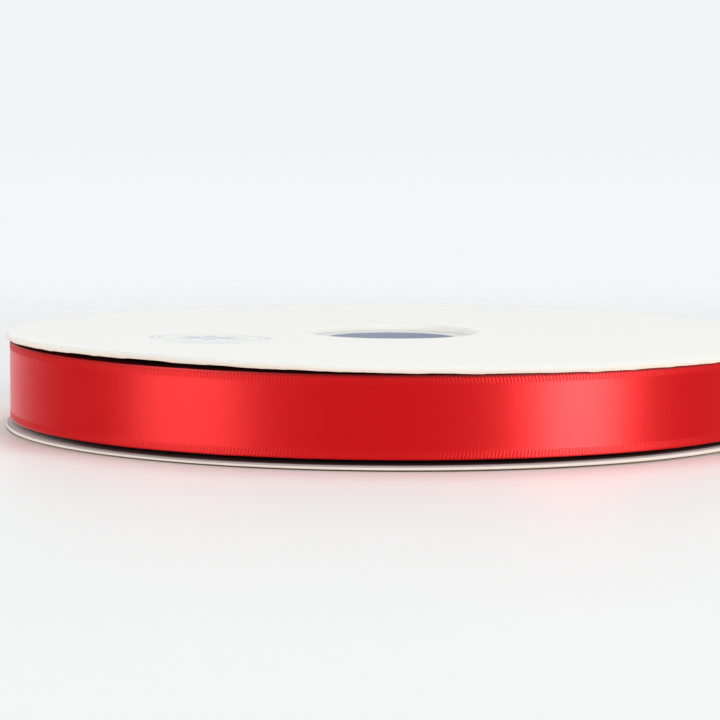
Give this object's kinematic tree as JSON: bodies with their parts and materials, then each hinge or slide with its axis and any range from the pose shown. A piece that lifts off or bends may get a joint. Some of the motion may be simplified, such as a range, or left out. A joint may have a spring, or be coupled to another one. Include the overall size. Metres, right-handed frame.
{
  "type": "ribbon spool",
  "caption": "Full reel of satin ribbon wound on a moulded hub between card flanges, with a central bore and a free ribbon end that lifts off the roll.",
  "frame": {"origin": "centre of the face the spool rests on, on the winding axis", "axes": "+Z along the winding axis, up from the resting face; the tail's root is 110 degrees round from +X towards +Y"},
  "size_m": [0.164, 0.164, 0.0195],
  "materials": {
    "board": "matte",
    "face_paper": "satin",
    "hub": "matte",
    "ribbon": "satin",
    "paper_tape": "matte",
    "clear_tape": "gloss"
  },
  "bodies": {
    "spool": {"lower_flange_board": "board", "upper_flange_board": "board", "lower_face_paper": "face_paper", "upper_face_paper": "face_paper", "hub_lower_half": "hub", "hub_upper_half": "hub", "ribbon_roll": "ribbon", "ribbon_outer_turn": "ribbon", "ribbon_start_tape": "paper_tape"},
    "tail": {"ribbon_tail": "ribbon", "tail_end_tape": "clear_tape"}
  },
  "joints": [
    {"name": "tail_lift", "type": "hinge", "parent": "spool", "child": "tail", "pos_m": [-0.02791, 0.07668, 0.0101], "axis": [0, 0, -1], "range_deg": [0, 60]}
  ]
}
